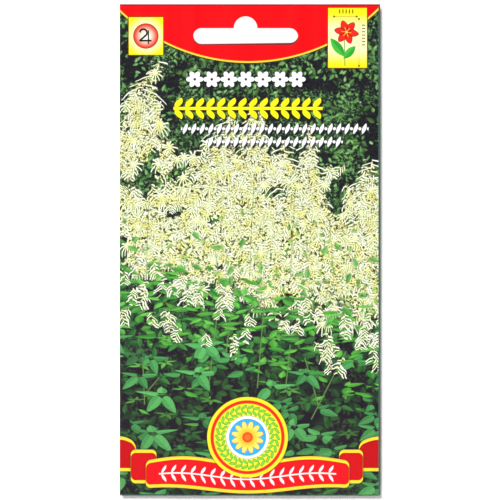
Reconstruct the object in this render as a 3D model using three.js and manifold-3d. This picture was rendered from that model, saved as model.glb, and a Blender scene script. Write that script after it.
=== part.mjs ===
// A paper seed packet with a hanging slot, in millimetres. +Z is up, the front faces -Y, and +X is to the
// right of someone who looks at the front. The origin is the top of the slot's round bump, where the peg
// carries the packet, halfway between the front and the back ply.
import * as THREE from 'three';
import { mergeVertices } from 'three/addons/utils/BufferGeometryUtils.js';
import Module from 'manifold-3d';

const wasm = await Module();
wasm.setup();

// Driving dimensions of the envelope
const packetWidth = 79.5;
const packetHeight = 150;
const paper = 0.15; // thickness of the coated paper
const glueGap = 0.12; // room that a glue line takes between two plies
const headerHeight = 21; // the flat part at the top, around the slot
const frontBulge = 1.1; // how far the filled front panel stands out of the header's plane
const backBulge = 0.9;
const sideFall = 2.4; // power by which the bulge falls off towards the sides
const shoulder = 0.45; // share of the filled height over which it grows below the header
const toe = 0.22; // share of the filled height over which it closes towards the bottom fold
const sideFlapWidth = 13;
const bottomFlapHeight = 15;
const bottomFlapInset = 0.8; // the bottom flap is this much narrower than the front at each side
const bottomFlapTaper = 2.6; // each of its side edges leans in by this much up to the free edge
const plyEnd = 0.7; // the back ply and the folds stop this far above the bottom edge

// Driving dimensions of the hanging slot
const slotWidth = 32;
const slotHeight = 5.1;
const bumpRadius = 3.6;
const slotBelowTop = 3.7; // from the top edge of the packet to the top of the bump
const slotLeftOfMiddle = 1.35;
const backSlotTurn = 0.9; // degrees by which the back ply's slot is turned against the front one's
const backSlotRaise = 0.22; // the back ply's slot sits this much higher, so its lower lip shows

// Driving dimensions of the glue lines
const glue = 0.06; // thickness of a dried glue line
const topSealHeight = 2;
const topSealBelowTop = 0.9;
const topSealInset = 4;
const sideGlueFromFold = 3;
const sideGlueFromEdge = 1.5;
const sideGlueAboveBottom = 5;
const sideGlueBelowTop = 2;
const bottomGlueInset = 7;
const bottomGlueAboveFold = 3;
const bottomGlueBelowEdge = 2;

// Driving dimensions of what the envelope holds
const film = 0.06; // thickness of the sachet's film
const sachetWidth = 56;
const sachetHeight = 74;
const sachetAboveBottom = 5.5;
const sachetSeal = 4; // width of the sealed border
const sachetBulge = 0.55;
const sachetToe = 12; // the sachet fills out over this height above its lower seal
const sachetShoulder = 45; // and thins out over this height below its upper seal
const seedCount = 46;
const seedLength = 2.6;
const seedDiameter = 0.5;
const seedHeapWidth = 22;
const seedHeapHeight = 11;
const seedHeapAboveSeal = 3.5;
const heapCore = 0.22; // thickness of the heap's core
const filmClear = 0.03; // between a seed and the film

// Places that follow from them
const left = slotLeftOfMiddle - packetWidth / 2;
const right = slotLeftOfMiddle + packetWidth / 2;
const top = slotBelowTop;
const bottom = slotBelowTop - packetHeight;
const middle = slotLeftOfMiddle;
const headerBottom = top - headerHeight;
const plyFromMiddle = (paper + glueGap) / 2; // from the middle plane to the middle of a ply
const plyStep = paper + glueGap; // from the middle of a ply to the middle of the one glued on it
const flapEdge = left + sideFlapWidth;

const smooth = (low, high, value) => THREE.MathUtils.smoothstep(value, low, high);

// How full the packet is at a point, from 0 in the header and at the edges to 1 over the seeds
function fullness(x, z) {
  const across = Math.min(1, Math.abs(2 * (x - middle) / packetWidth));
  const down = THREE.MathUtils.clamp((headerBottom - z) / (headerBottom - bottom), 0, 1);
  const fromBottom = Math.min(1, (1 - down) / toe);
  return (1 - across ** sideFall) * smooth(0, shoulder, down) * Math.sin(Math.PI / 2 * fromBottom);
}

const frontPly = (x, z) => -plyFromMiddle - frontBulge * fullness(x, z);
const backPly = (x, z) => plyFromMiddle + backBulge * fullness(x, z);
const sideFlap = (x, z) => backPly(x, z) + plyStep;

// The bottom flap lies on the side flap at the left and steps down to the back ply beside it
const stepWidth = 3.5;
const stepStart = flapEdge + 0.4;
const onSideFlap = (x) => 1 - THREE.MathUtils.clamp((x - stepStart) / stepWidth, 0, 1);
const bottomFlap = (x, z) => backPly(x, z) + plyStep * (1 + onSideFlap(x));

// Evenly spaced values, with both ends
function spread(from, to, count) {
  return Array.from({ length: count + 1 }, (_, i) => from + (to - from) * i / count);
}

const point = (x, y, z) => new THREE.Vector3(x, y, z);

// The quads between the columns and rows of a grid whose points are listed column by column
function gridQuads(columnCount, rowCount) {
  const quads = [];
  for (let i = 0; i + 1 < columnCount; i += 1) {
    for (let j = 0; j + 1 < rowCount; j += 1) {
      const near = i * rowCount + j;
      const far = near + rowCount;
      quads.push([near, near + 1, far + 1, far]);
    }
  }
  return quads;
}

// Gives a sheet its thickness. The quads are wound so that they face the sheet's outer side.
function thicken(points, quads, thickness) {
  const normals = points.map(() => new THREE.Vector3());
  const open = new Map();
  for (const quad of quads) {
    const [a, b, c, d] = quad.map((index) => points[index]);
    const facing = c.clone().sub(a).cross(d.clone().sub(b));
    quad.forEach((index, i) => {
      normals[index].add(facing);
      const next = quad[(i + 1) % 4];
      if (!open.delete(`${next},${index}`)) open.set(`${index},${next}`, [index, next]);
    });
  }
  const shift = points.map((_, i) => normals[i].normalize().multiplyScalar(thickness / 2));
  const outerSide = points.map((p, i) => p.clone().add(shift[i]));
  const innerSide = points.map((p, i) => p.clone().sub(shift[i]));
  const inner = points.length;
  const index = [];
  for (const [a, b, c, d] of quads) {
    index.push(a, b, c, a, c, d);
    index.push(inner + a, inner + c, inner + b, inner + a, inner + d, inner + c);
  }
  for (const [a, b] of open.values()) index.push(b, a, inner + a, b, inner + a, inner + b);
  const geometry = new THREE.BufferGeometry().setFromPoints([...outerSide, ...innerSide]);
  geometry.setIndex(index);
  return geometry;
}

// A sheet over a grid of X columns and Z rows, whose middle lies at the depth that depth(x, z) gives
function sheetOver(columns, rows, depth, thickness) {
  const points = columns.flatMap((x) => rows.map((z) => point(x, depth(x, z), z)));
  return thicken(points, gridQuads(columns.length, rows.length), thickness);
}

function toSolid(geometry) {
  const bare = geometry.clone();
  bare.deleteAttribute('normal');
  bare.deleteAttribute('uv');
  const merged = mergeVertices(bare, 1e-5);
  return new wasm.Manifold(new wasm.Mesh({
    numProp: 3,
    vertProperties: new Float32Array(merged.attributes.position.array),
    triVerts: new Uint32Array(merged.index.array),
  }));
}

function fromSolid(solid) {
  const mesh = solid.getMesh();
  const geometry = new THREE.BufferGeometry();
  geometry.setAttribute('position', new THREE.BufferAttribute(mesh.vertProperties, mesh.numProp));
  geometry.setIndex(new THREE.BufferAttribute(mesh.triVerts, 1));
  return geometry;
}

// The slot's outline in X and Z: a straight slot with round ends and a half-round bump in its upper edge
function slotOutline() {
  const endRadius = slotHeight / 2;
  const straight = slotWidth / 2 - endRadius;
  const upper = -bumpRadius;
  const shape = new THREE.Shape();
  shape.moveTo(-straight, upper - slotHeight);
  shape.lineTo(straight, upper - slotHeight);
  shape.absarc(straight, upper - endRadius, endRadius, -Math.PI / 2, Math.PI / 2, false);
  shape.lineTo(bumpRadius, upper);
  shape.absarc(0, upper, bumpRadius, 0, Math.PI, false);
  shape.lineTo(-straight, upper);
  shape.absarc(-straight, upper - endRadius, endRadius, Math.PI / 2, 3 * Math.PI / 2, false);
  return shape;
}

// Punches the slot through one ply, between the middle plane and well past the outside
function slotPunch(towardsBack) {
  const reach = 5;
  const settings = { depth: reach, bevelEnabled: false, curveSegments: 14 };
  const punch = new THREE.ExtrudeGeometry(slotOutline(), settings);
  punch.rotateX(Math.PI / 2);
  if (towardsBack) {
    punch.translate(0, reach, 0);
    punch.rotateY(THREE.MathUtils.degToRad(-backSlotTurn));
    punch.translate(0, 0, backSlotRaise);
  }
  return toSolid(punch);
}

// The whole cut sheet, folded: back panel, right fold, front panel, left fold and side flap in one run, with
// the bottom flap turned up from the foot of the front panel
function envelope() {
  const foldRows = 4;
  const rightRadius = plyFromMiddle;
  const leftRadius = (sideFlap(left, top) + plyFromMiddle) / 2;
  const rightFoldX = right - paper / 2 - rightRadius;
  const leftFoldX = left + paper / 2 + leftRadius;
  const flapRise = leftRadius - plyFromMiddle; // the left fold's middle, off the middle plane

  const columns = [];
  const addPanel = (xs, ply) => xs.forEach((x) => columns.push({ at: (z) => point(x, ply(x, z), z), x }));
  const addFold = (x, y, radius, turn) => {
    for (let i = 1; i < foldRows; i += 1) {
      const angle = Math.PI * i / foldRows;
      const [dx, dy] = [turn * radius * Math.sin(angle), turn * radius * Math.cos(angle)];
      columns.push({ at: (z) => point(x + dx, y + dy, z), x });
    }
  };
  addPanel(spread(left + 1, rightFoldX, 15), backPly);
  addFold(rightFoldX, 0, rightRadius, 1);
  const frontStart = columns.length;
  const frontColumns = [
    rightFoldX,
    ...spread(right - bottomFlapInset, stepStart + stepWidth, 10),
    ...spread(stepStart, left + bottomFlapInset, 3),
    leftFoldX,
  ];
  addPanel(frontColumns, frontPly);
  const frontEnd = columns.length - 1;
  addFold(leftFoldX, flapRise, leftRadius, -1);
  addPanel(spread(leftFoldX, flapEdge, 4), sideFlap);

  // Only the front columns that carry the bottom flap reach down to the fold
  const carriesFlap = (i) => i > frontStart && i < frontEnd;
  const foldRadius = (x) => (bottomFlap(x, bottom) + plyFromMiddle) / 2;
  const foldZ = (x) => bottom + paper / 2 + foldRadius(x);
  const levels = [...spread(0, 0.22, 8), ...spread(0.22, 0.86, 14).slice(1), ...spread(0.86, 1, 2).slice(1)];
  const points = columns.flatMap(({ at, x }, i) => {
    const foot = carriesFlap(i) ? foldZ(x) : bottom + plyEnd;
    return levels.map((level) => at(foot + (top - foot) * level));
  });
  const quads = gridQuads(columns.length, levels.length);

  // The bottom flap starts on the front's lowest points, turns round the fold and goes up the back
  let previous = [];
  for (let i = frontStart + 1; i < frontEnd; i += 1) {
    const { x } = columns[i];
    const radius = foldRadius(x);
    const row = [i * levels.length];
    for (let k = 1; k <= foldRows; k += 1) {
      const angle = Math.PI * k / foldRows;
      const y = radius - plyFromMiddle - radius * Math.cos(angle);
      row.push(points.push(point(x, y, foldZ(x) - radius * Math.sin(angle))) - 1);
    }
    for (const rise of spread(0, 1, 5).slice(1)) {
      const z = foldZ(x) + (bottomFlapHeight - foldZ(x) + bottom) * rise;
      const inset = bottomFlapInset + bottomFlapTaper * rise;
      const narrowed = THREE.MathUtils.clamp(x, left + inset, right - inset);
      row.push(points.push(point(narrowed, bottomFlap(narrowed, z), z)) - 1);
    }
    for (let k = 0; previous.length && k + 1 < row.length; k += 1) {
      quads.push([previous[k], row[k], row[k + 1], previous[k + 1]]);
    }
    previous = row;
  }

  const sheet = toSolid(thicken(points, quads, paper));
  return fromSolid(sheet.subtract(slotPunch(false)).subtract(slotPunch(true)));
}

// A strip of glue between two flat plies of the header, above the slot
function topSeal() {
  const upper = top - topSealBelowTop;
  const ends = [left + topSealInset, right - topSealInset];
  return sheetOver(ends, [upper - topSealHeight, upper], () => 0, glue);
}

// Glue under the side flap, halfway between the back ply and the flap
function sideSeamGlue() {
  return sheetOver(
    spread(left + sideGlueFromFold, flapEdge - sideGlueFromEdge, 3),
    spread(bottom + sideGlueAboveBottom, top - sideGlueBelowTop, 18),
    (x, z) => backPly(x, z) + plyStep / 2,
    glue,
  );
}

// Glue under the bottom flap, which steps down with it beside the side flap
function bottomSeamGlue() {
  return sheetOver(
    [
      ...spread(left + bottomGlueInset, stepStart, 2),
      ...spread(stepStart + stepWidth, right - bottomGlueInset, 9),
    ],
    spread(bottom + bottomGlueAboveFold, bottom + bottomFlapHeight - bottomGlueBelowEdge, 5),
    (x, z) => bottomFlap(x, z) - plyStep / 2,
    glue,
  );
}

// How far each film stands off the sachet's middle plane, which is 0 over the sealed border
const sachetBottom = bottom + sachetAboveBottom;
function sachetFullness(x, z) {
  const inside = sachetWidth / 2 - sachetSeal;
  const across = Math.min(1, Math.abs((x - middle) / inside));
  const up = z - sachetBottom - sachetSeal;
  const down = sachetBottom + sachetHeight - sachetSeal - z;
  if (up <= 0 || down <= 0) return 0;
  const foot = Math.sin(Math.PI / 2 * Math.min(1, up / sachetToe));
  return sachetBulge * (1 - across ** 3) * foot * smooth(0, sachetShoulder, down);
}

function sachetFilm(towardsBack) {
  const side = towardsBack ? 1 : -1;
  const halfWidth = sachetWidth / 2;
  const columns = [-halfWidth, ...spread(sachetSeal - halfWidth, halfWidth - sachetSeal, 8), halfWidth];
  const inner = spread(sachetBottom + sachetSeal, sachetBottom + sachetHeight - sachetSeal, 11);
  return sheetOver(
    columns.map((x) => x + middle),
    [sachetBottom, ...inner, sachetBottom + sachetHeight],
    (x, z) => side * (film / 2 + sachetFullness(x, z)),
    film,
  );
}

// Random numbers from 0 to 1 that are the same each time
function dice(seed) {
  let state = seed;
  return () => {
    state = (state * 1664525 + 1013904223) % 4294967296;
    return state / 4294967296;
  };
}

// One spindle-shaped seed along X
function seed() {
  const half = seedLength / 2;
  const waist = half * 0.35;
  const radius = seedDiameter / 2;
  const profile = [[0, -half], [radius, -waist], [radius, waist], [0, half]];
  const geometry = new THREE.LatheGeometry(profile.map(([r, at]) => new THREE.Vector2(r, at)), 4);
  return geometry.rotateZ(Math.PI / 2);
}

// The pinch of seed: spindles at every angle, on a thin core that holds the heap together
function seeds() {
  const random = dice(11);
  const heapMiddle = sachetBottom + sachetSeal + seedHeapAboveSeal + seedHeapHeight / 2;
  const core = new THREE.SphereGeometry(1, 16, 6);
  core.scale(seedHeapWidth / 2, heapCore / 2, seedHeapHeight / 2);
  core.translate(middle, 0, heapMiddle);
  const solids = [toSolid(core)];
  while (solids.length <= seedCount) {
    const angle = random() * 2 * Math.PI;
    const reach = Math.sqrt(random()) * 0.94; // just inside the core's rim, so that every seed holds to it
    const x = middle + reach * Math.cos(angle) * seedHeapWidth / 2;
    const z = heapMiddle + reach * Math.sin(angle) * seedHeapHeight / 2;
    const turn = random() * Math.PI;
    const lift = (random() - 0.5) * heapCore * (1 - reach);
    if (sachetFullness(x, z) > Math.abs(lift) + seedDiameter / 2 + filmClear) {
      const grain = seed().rotateX(turn).rotateY(random() * Math.PI).translate(x, lift, z);
      solids.push(toSolid(grain));
    }
  }
  return fromSolid(wasm.Manifold.union(solids));
}

const printedPaper = { color: 0xd8352c, roughness: 0.32, metalness: 0 };
const driedGlue = { color: 0xe9e2c8, roughness: 0.45, metalness: 0 };
const glassine = { color: 0xeeeade, roughness: 0.5, metalness: 0 };
const brownSeed = { color: 0x6b4a2b, roughness: 0.8, metalness: 0 };

const packet = new THREE.Group();
function addPiece(name, geometry, finish) {
  geometry.computeVertexNormals();
  const mesh = new THREE.Mesh(geometry, new THREE.MeshStandardMaterial(finish));
  mesh.name = name;
  packet.add(mesh);
}

addPiece('envelope', envelope(), printedPaper);
addPiece('top_seal_glue', topSeal(), driedGlue);
addPiece('side_seam_glue', sideSeamGlue(), driedGlue);
addPiece('bottom_seam_glue', bottomSeamGlue(), driedGlue);
addPiece('sachet_front_film', sachetFilm(false), glassine);
addPiece('sachet_back_film', sachetFilm(true), glassine);
addPiece('seeds', seeds(), brownSeed);

export default packet;
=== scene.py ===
# A paper seed packet that hangs by its slot. Lengths are in millimetres until a mesh is made, +Z is up and
# the printed front faces -Y. Places in the print are given as (across, down) from its top left corner.
import math

import bpy
import numpy as np
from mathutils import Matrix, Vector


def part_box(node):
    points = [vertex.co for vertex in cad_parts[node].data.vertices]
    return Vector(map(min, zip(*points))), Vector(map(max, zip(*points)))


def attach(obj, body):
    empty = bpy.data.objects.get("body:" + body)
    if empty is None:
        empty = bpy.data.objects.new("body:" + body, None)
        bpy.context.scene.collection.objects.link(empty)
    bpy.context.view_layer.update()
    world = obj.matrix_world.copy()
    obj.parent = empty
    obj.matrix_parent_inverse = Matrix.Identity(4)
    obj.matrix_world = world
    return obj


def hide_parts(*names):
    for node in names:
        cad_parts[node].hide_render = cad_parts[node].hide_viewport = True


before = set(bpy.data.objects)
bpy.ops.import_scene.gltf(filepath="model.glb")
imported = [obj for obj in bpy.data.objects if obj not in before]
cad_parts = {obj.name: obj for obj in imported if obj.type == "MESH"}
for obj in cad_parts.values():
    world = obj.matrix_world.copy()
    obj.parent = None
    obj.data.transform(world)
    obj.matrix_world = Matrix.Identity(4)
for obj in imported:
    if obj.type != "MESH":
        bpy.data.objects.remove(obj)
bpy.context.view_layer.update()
scene = bpy.context.scene
print("frame loaded:", ", ".join(sorted(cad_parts)))

lowCorner, highCorner = (np.array(corner) * 1000 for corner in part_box("envelope"))
left, _, bottom = lowCorner
right, _, top = highCorner
width, height, middle = right - left, top - bottom, (left + right) / 2


# The folded sheet of paper

sheet = {
    "paper": 0.15, "glueGap": 0.12, "headerHeight": 21.0,
    "frontBulge": 1.1, "backBulge": 0.9, "sideFall": 2.4, "shoulder": 0.45, "toe": 0.22,
    "sideFlap": 13.0, "bottomFlap": 15.0, "flapInset": 0.5, "flapTaper": 2.9, "plyEnd": 0.7,
    "cornerEnd": 0.06, "backInset": 1.0, "stepFromFlap": 0.4, "stepWidth": 3.5,
    "wave": 0.14, "waveGain": 1.8, "waveLengths": (31.0, 19.0, 12.0), "seed": 4,
    "foldSteps": 8, "frontColumns": 44, "backColumns": 40, "flapColumns": 7, "flapRows": 12,
    "rows": [(0, 0.1, 12), (0.1, 0.86, 62), (0.86, 1, 5)],  # from the foot to the top: start, end, levels
}
paper = sheet["paper"]
plyFromMiddle = (paper + sheet["glueGap"]) / 2
plyStep = paper + sheet["glueGap"]
headerBottom = top - sheet["headerHeight"]
flapEdge = left + sheet["sideFlap"]
stepStart = flapEdge + sheet["stepFromFlap"]


def easeBetween(low, high, value):
    share = np.clip((value - low) / (high - low), 0, 1)
    return share * share * (3 - 2 * share)


def fullness(x, z):  # 0 in the header and at the edges, 1 over the seeds
    across = np.minimum(1, abs(2 * (x - middle) / width))
    down = np.clip((headerBottom - z) / (headerBottom - bottom), 0, 1)
    fromBottom = np.minimum(1, (1 - down) / sheet["toe"])
    grown = easeBetween(0, sheet["shoulder"], down) * np.sin(math.pi / 2 * fromBottom)
    return (1 - across ** sheet["sideFall"]) * grown


def makeWaves(seed):  # soft waves of handled paper, from 0 to 1
    draw = np.random.default_rng(seed)
    waves = []
    for length in sheet["waveLengths"]:
        for _ in range(3):
            turn, phase = draw.uniform(0, 2 * math.pi, 2)
            waves.append((math.cos(turn) / length, math.sin(turn) / length, phase, length))
    total = sum(wave[3] for wave in waves)

    def waveAt(x, z):
        parts = (length * np.sin(2 * math.pi * (u * x + v * z) + phase) for u, v, phase, length in waves)
        return 0.5 + 0.5 * np.clip(sheet["waveGain"] * sum(parts) / total, -1, 1)
    return waveAt


frontWave, backWave = makeWaves(sheet["seed"]), makeWaves(sheet["seed"] + 1)


def frontPly(x, z):
    return -plyFromMiddle - fullness(x, z) * (sheet["frontBulge"] - sheet["wave"] * frontWave(x, z))


def backPly(x, z):
    return plyFromMiddle + fullness(x, z) * (sheet["backBulge"] - sheet["wave"] * backWave(x, z))


def sideFlap(x, z):
    return backPly(x, z) + plyStep


def bottomFlap(x, z):
    onSideFlap = 1 - np.clip((x - stepStart) / sheet["stepWidth"], 0, 1)
    return backPly(x, z) + plyStep * (1 + onSideFlap)


charts = {  # where each part of the sheet lies in a baked texture: corner, and texture per millimetre
    "front": ((0.010, 0.012), 0.00588),
    "back": ((0.497, 0.250), 0.00495),
    "flap": ((0.905, 0.250), 0.00495),
    "inside": ((0.497, 0.012), 0.00130),
    "rim": ((0.735, 0.012), 0.0042),
    "frontSlot": ((0.735, 0.130), 0.0026),
    "backSlot": ((0.735, 0.160), 0.0026),
}
rim = {"perRow": 56, "rowStep": 2.0, "wide": 0.8, "tall": 1.4, "slotTall": 0.024}  # cut edges in the texture
finishes = ["frontPrint", "backPrint", "bareInside", "cutEdge"]


class Sheet:  # collects the points of the sheet's middle, and its quads wound to face outwards
    def __init__(self):
        self.points, self.flat, self.quads, self.parts = [], [], [], []

    def add(self, points, flat):
        start = len(self.points)
        self.points.extend(points)
        self.flat.extend(flat)
        return list(range(start, len(self.points)))

    def join(self, near, far, part):
        for j in range(len(near) - 1):
            self.quads.append((near[j], near[j + 1], far[j + 1], far[j]))
            self.parts.append(part)


def foldedColumns():  # x and depth of every column of the run from the back panel to the side flap
    steps = sheet["foldSteps"]
    rightRadius = plyFromMiddle
    leftRadius = (2 * plyFromMiddle + plyStep) / 2
    rightFoldX = right - paper / 2 - rightRadius
    leftFoldX = left + paper / 2 + leftRadius
    columns = []

    def addPanel(xs, ply, part):
        for x in xs:
            columns.append({"x": x, "part": part, "at": lambda z, x=x: (np.full_like(z, x), ply(x, z))})

    def addFold(x, y, radius, turn, parts):
        for k in range(1, steps):
            angle = math.pi * k / steps
            dx, dy = turn * radius * math.sin(angle), turn * radius * math.cos(angle)
            part = parts[0] if 2 * k < steps else parts[1]
            columns.append({"x": x, "part": part,
                            "at": lambda z, dx=dx, dy=dy: (np.full_like(z, x + dx), np.full_like(z, y + dy))})

    addPanel(np.linspace(left + sheet["backInset"], rightFoldX, sheet["backColumns"]), backPly, "back")
    addFold(rightFoldX, 0, rightRadius, 1, ("back", "front"))
    addPanel([rightFoldX], frontPly, "front")
    flapStart = len(columns)
    inset = sheet["flapInset"]
    addPanel(np.linspace(right - inset, left + inset, sheet["frontColumns"]), frontPly, "front")
    flapEnd = len(columns)
    addPanel([leftFoldX], frontPly, "front")
    addFold(leftFoldX, leftRadius - plyFromMiddle, leftRadius, -1, ("front", "flap"))
    addPanel(np.linspace(leftFoldX, flapEdge, sheet["flapColumns"]), sideFlap, "flap")
    return columns, flapStart, flapEnd


def foldRadius(x):
    return (bottomFlap(x, bottom) + plyFromMiddle) / 2


def foldStart(x):
    return bottom + paper / 2 + foldRadius(x)


def buildSheet():
    columns, flapStart, flapEnd = foldedColumns()
    made = Sheet()
    levels = np.unique(np.concatenate([np.linspace(*stretch) for stretch in sheet["rows"]]))
    along, before, runs = 0.0, None, []
    for i, column in enumerate(columns):
        foot = bottom + sheet["cornerEnd" if column["part"] == "front" else "plyEnd"]
        if flapStart <= i < flapEnd:
            foot = foldStart(column["x"])
        z = foot + (top - foot) * levels
        x, y = column["at"](z)
        here = np.array([x[-1], y[-1]])
        along += 0.0 if before is None else float(np.hypot(*(here - before)))
        before, column["along"] = here, along
        runs.append(made.add(list(zip(x, y, z)), [(along, level - bottom) for level in z]))
    for i in range(len(columns) - 1):
        made.join(runs[i], runs[i + 1], columns[i + 1]["part"])

    previous = None
    for column, run in zip(columns[flapStart:flapEnd], runs[flapStart:flapEnd]):
        flapRun = [run[0]] + made.add(*flapColumn(column["x"], column["along"]))
        if previous:
            made.join(flapRun, previous, "bottomFlap")
        previous = flapRun
    return made


def flapColumn(x, along):  # from the front's lowest point it turns round the fold and goes up the back
    steps, radius, start = sheet["foldSteps"], foldRadius(x), foldStart(x)
    halfWidth = width / 2 - sheet["flapInset"]
    points, flat = [], []
    for k in range(1, steps + 1):
        angle = math.pi * k / steps
        points.append((x, radius - plyFromMiddle - radius * math.cos(angle), start - radius * math.sin(angle)))
        flat.append((along, start - bottom - radius * angle))
    for rise in np.linspace(0, 1, sheet["flapRows"] + 1)[1:]:
        z = start + (sheet["bottomFlap"] - start + bottom) * rise
        narrowed = middle + (x - middle) * (1 - sheet["flapTaper"] * rise / halfWidth)
        points.append((narrowed, bottomFlap(narrowed, z), z))
        flat.append((along + x - narrowed, start - bottom - radius * math.pi - (z - start)))
    return points, flat


def thicken(made):  # vertices, faces, finish of each face, and texture place of each face's corners
    points = np.array(made.points)
    quads = np.array(made.quads)
    first, second, third, fourth = (points[quads[:, k]] for k in range(4))
    facing = np.cross(third - first, fourth - second)
    normals = np.zeros_like(points)
    for k in range(4):
        np.add.at(normals, quads[:, k], facing)
    normals /= np.linalg.norm(normals, axis=1)[:, None]
    count = len(points)
    vertices = np.vstack([points + normals * paper / 2, points - normals * paper / 2])

    flat = np.array(made.flat)
    starts = {}
    for part in ("front", "back", "flap"):
        own = quads[[other == part for other in made.parts]]
        starts[part] = flat[own.ravel(), 0].min()
    lowest = flat[:, 1].min()

    def chartPlace(chart, places, corner):
        (u, v), scale = charts[chart]
        return (np.array([u, v]) + (places - np.array(corner)) * scale).tolist()

    faces, looks, places = [], [], []
    for quad, part in zip(made.quads, made.parts):
        chart = "front" if part == "bottomFlap" else part
        low = lowest if chart == "front" else sheet["plyEnd"]
        faces.append(quad)
        looks.append("frontPrint" if part == "front" else "backPrint")
        places.append(chartPlace(chart, flat[list(quad)], (starts[chart], low)))
        faces.append(tuple(index + count for index in reversed(quad)))
        looks.append("bareInside")
        places.append(chartPlace("inside", flat[list(reversed(quad))], (flat[:, 0].min(), lowest)))

    edges = {}
    for quad in made.quads:
        for k in range(4):
            start, end = quad[k], quad[(k + 1) % 4]
            if (end, start) in edges:
                del edges[(end, start)]
            else:
                edges[(start, end)] = True
    for n, (start, end) in enumerate(edges):
        u0, v0 = n % rim["perRow"], n // rim["perRow"] * rim["rowStep"]
        u1, v1 = u0 + rim["wide"], v0 + rim["tall"]
        faces.append((end, start, start + count, end + count))
        looks.append("cutEdge")
        places.append(chartPlace("rim", np.array([[u0, v0], [u0, v1], [u1, v1], [u1, v0]]), (0, 0)))
    return vertices, faces, looks, places


def meshObject(name, vertices, faces, places, looks):
    mesh = bpy.data.meshes.new(name)
    mesh.from_pydata([tuple(v) for v in np.asarray(vertices) / 1000], [], [list(f) for f in faces])
    layer = mesh.uv_layers.new(name="OFBake")
    layer.data.foreach_set("uv", [value for face in places for corner in face for value in corner])
    mesh.polygons.foreach_set("use_smooth", [True] * len(faces))
    for _ in finishes:
        mesh.materials.append(None)
    mesh.polygons.foreach_set("material_index", [finishes.index(look) for look in looks])
    made = bpy.data.objects.new(name, mesh)
    scene.collection.objects.link(made)
    return made


slot = {
    "width": 32.0, "height": 5.1, "bumpRadius": 3.6, "backTurn": 0.7, "backRaise": 0.45,
    "reach": 1.0, "endSteps": 20, "bumpSteps": 26, "sharp": 35.0,
}


def slotOutline():  # x and z, anticlockwise as seen from the front
    endRadius = slot["height"] / 2
    straight, upper = slot["width"] / 2 - endRadius, -slot["bumpRadius"]

    def arc(x, z, radius, start, end, steps):
        angles = np.linspace(start, end, steps + 1)
        return [(x + radius * math.cos(angle), z + radius * math.sin(angle)) for angle in angles]
    outline = arc(straight, upper - endRadius, endRadius, -math.pi / 2, math.pi / 2, slot["endSteps"])
    outline += arc(0, upper, slot["bumpRadius"], 0, math.pi, slot["bumpSteps"])
    outline += arc(-straight, upper - endRadius, endRadius, math.pi / 2, 3 * math.pi / 2, slot["endSteps"])
    return outline


def slotPunch(towardsBack):
    outline = np.array(slotOutline())
    if towardsBack:
        turn = math.radians(slot["backTurn"])
        x, z = outline[:, 0].copy(), outline[:, 1].copy()
        outline[:, 0] = x * math.cos(turn) - z * math.sin(turn)
        outline[:, 1] = x * math.sin(turn) + z * math.cos(turn) + slot["backRaise"]
    near, far = (0, slot["reach"]) if towardsBack else (-slot["reach"], 0)
    count = len(outline)
    vertices = [(x, near, z) for x, z in outline] + [(x, far, z) for x, z in outline]
    faces = [tuple(range(count)), tuple(reversed(range(count, 2 * count)))]
    (u, v), scale = charts["backSlot" if towardsBack else "frontSlot"]
    places = [[(u, v)] * count, [(u, v)] * count]
    for k in range(count):
        after = (k + 1) % count
        faces.append((after, k, k + count, after + count))
        a, b, c = u + k * scale, u + (k + 1) * scale, v + rim["slotTall"]
        places.append([(b, v), (a, v), (a, c), (b, c)])
    return meshObject("punch", vertices, faces, places, ["cutEdge"] * len(faces))


def makeEnvelope():
    vertices, faces, looks, places = thicken(buildSheet())
    envelope = meshObject("packet_envelope", vertices, faces, places, looks)
    punches = [slotPunch(False), slotPunch(True)]
    for punch in punches:
        cut = envelope.modifiers.new("slot", "BOOLEAN")
        cut.operation, cut.solver, cut.object = "DIFFERENCE", "EXACT", punch
    cutMesh = bpy.data.meshes.new_from_object(envelope.evaluated_get(bpy.context.evaluated_depsgraph_get()))
    envelope.modifiers.clear()
    envelope.data = cutMesh
    for punch in punches:
        bpy.data.objects.remove(punch)
    cutMesh.name = "packet_envelope"
    cutMesh.set_sharp_from_angle(angle=math.radians(slot["sharp"]))
    return envelope


envelope = makeEnvelope()
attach(envelope, "root")
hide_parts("envelope")
print("envelope folded:", len(envelope.data.polygons), "faces")


# Materials

class Wire:  # a socket of a material's nodes; arithmetic on it adds Math nodes
    def __init__(self, paint, socket):
        self.paint, self.socket = paint, socket

    def math(self, operation, *others):
        return self.paint.node("ShaderNodeMath", {"operation": operation}, [self, *others])

    def output(self, name):
        return Wire(self.paint, self.socket.node.outputs[name])

    def atLeast(self, other):
        return self.math("MAXIMUM", other)

    def atMost(self, other):
        return self.math("MINIMUM", other)

    def root(self):
        return self.math("SQRT")

    def fraction(self):
        return self.math("FRACT")

    def between(self, low, high, atLow=0.0, atHigh=1.0):
        inputs = {0: self, 1: low, 2: high, 3: atLow, 4: atHigh}
        spread = self.paint.node("ShaderNodeMapRange", {"clamp": False}, inputs)
        return self.paint.node("ShaderNodeClamp", None, [spread, min(atLow, atHigh), max(atLow, atHigh)])

    def ease(self, low, high):
        settings = {"interpolation_type": "SMOOTHSTEP", "clamp": False}
        return self.paint.node("ShaderNodeMapRange", settings, {0: self, 1: low, 2: high})

    def ink(self, soft=0.2):  # 1 where a distance to an outline is negative
        return self.between(soft / 2, -soft / 2)

    def __add__(self, other):
        return self.math("ADD", other)

    def __sub__(self, other):
        return self.math("SUBTRACT", other)

    def __mul__(self, other):
        return self.math("MULTIPLY", other)

    def __truediv__(self, other):
        return self.math("DIVIDE", other)

    def __rsub__(self, other):
        return self.paint.node("ShaderNodeMath", {"operation": "SUBTRACT"}, [other, self])

    def __abs__(self):
        return self.math("ABSOLUTE")

    __radd__ = __add__
    __rmul__ = __mul__


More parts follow.
